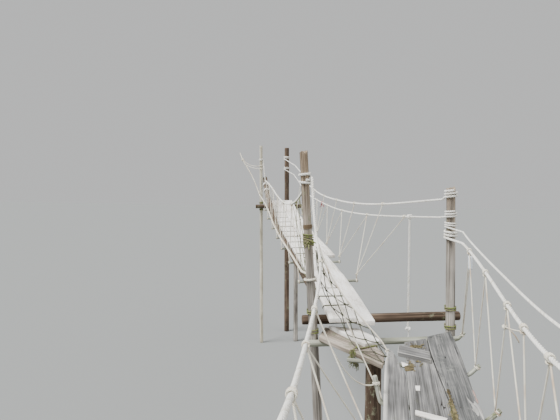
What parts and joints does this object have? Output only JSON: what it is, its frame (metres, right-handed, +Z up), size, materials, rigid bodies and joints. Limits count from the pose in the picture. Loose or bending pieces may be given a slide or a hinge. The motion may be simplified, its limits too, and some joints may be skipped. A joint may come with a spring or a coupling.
{
  "type": "rope suspension footbridge",
  "caption": "Rope suspension footbridge in two plank spans that meet at a bend on a post-held timber platform, with laced rope handrails.",
  "frame": {"origin": "centre of the level foot of the near left post, on the ground", "axes": "+Y along the near span, away from its near end; +X to the right of that heading; +Z up"},
  "size_m": [4.4089, 11.9879, 4.56],
  "materials": {
    "post_timber": "weathered brown-grey timber, split along the grain",
    "pale_pole": "barked, sun-bleached pole",
    "dark_log": "dark rough log",
    "bearer_pole": "grey-green round pole",
    "pale_board": "bleached pale board",
    "grey_plank": "weathered grey plank",
    "mossy_rope": "mossy green-brown cord",
    "cream_rope": "cream laid cord",
    "white_rope": "white laid rope"
  },
  "bodies": {
    "root": {"a_bearer_1": "bearer_pole", "a_bearer_2": "bearer_pole", "a_bearer_3": "bearer_pole", "a_bearer_4": "bearer_pole", "a_bearer_5": "bearer_pole", "a_bearer_6": "bearer_pole", "a_handrail_left": "white_rope", "a_handrail_right": "white_rope", "a_lacing_left": "cream_rope", "a_lacing_right": "cream_rope", "a_net_left": "mossy_rope", "a_plank_left": "grey_plank", "a_plank_middle": "grey_plank", "a_plank_right": "grey_plank", "a_upper_rope_right": "white_rope", "b_bearer_1": "bearer_pole", "b_bearer_2": "bearer_pole", "b_bearer_3": "bearer_pole", "b_bearer_4": "bearer_pole", "b_bearer_5": "bearer_pole", "b_bearer_6": "bearer_pole", "b_bearer_7": "bearer_pole", "b_board_left_1": "pale_board", "b_board_left_2": "pale_board", "b_board_left_3": "pale_board", "b_board_right_1": "pale_board", "b_board_right_2": "pale_board", "b_board_right_3": "pale_board", "b_edge_rope_left": "cream_rope", "b_handrail_left": "white_rope", "b_handrail_right": "white_rope", "b_lacing_left": "cream_rope", "b_lacing_right": "cream_rope", "b_lower_rope_right": "white_rope", "b_net_left": "mossy_rope", "b_side_log": "dark_log", "far_leg_right": "post_timber", "far_post_left": "pale_pole", "far_post_right": "post_timber", "far_sill": "dark_log", "mid_log_far": "dark_log", "mid_log_near": "dark_log", "mid_pile": "dark_log", "mid_plank_lashing": "mossy_rope", "mid_post_left": "post_timber", "mid_post_right": "post_timber", "mid_side_plank": "grey_plank", "mid_step_board": "grey_plank", "mid_wedge_board": "pale_board", "near_post_left": "post_timber", "near_post_right": "post_timber", "near_sill": "dark_log"}
  },
  "joints": []
}
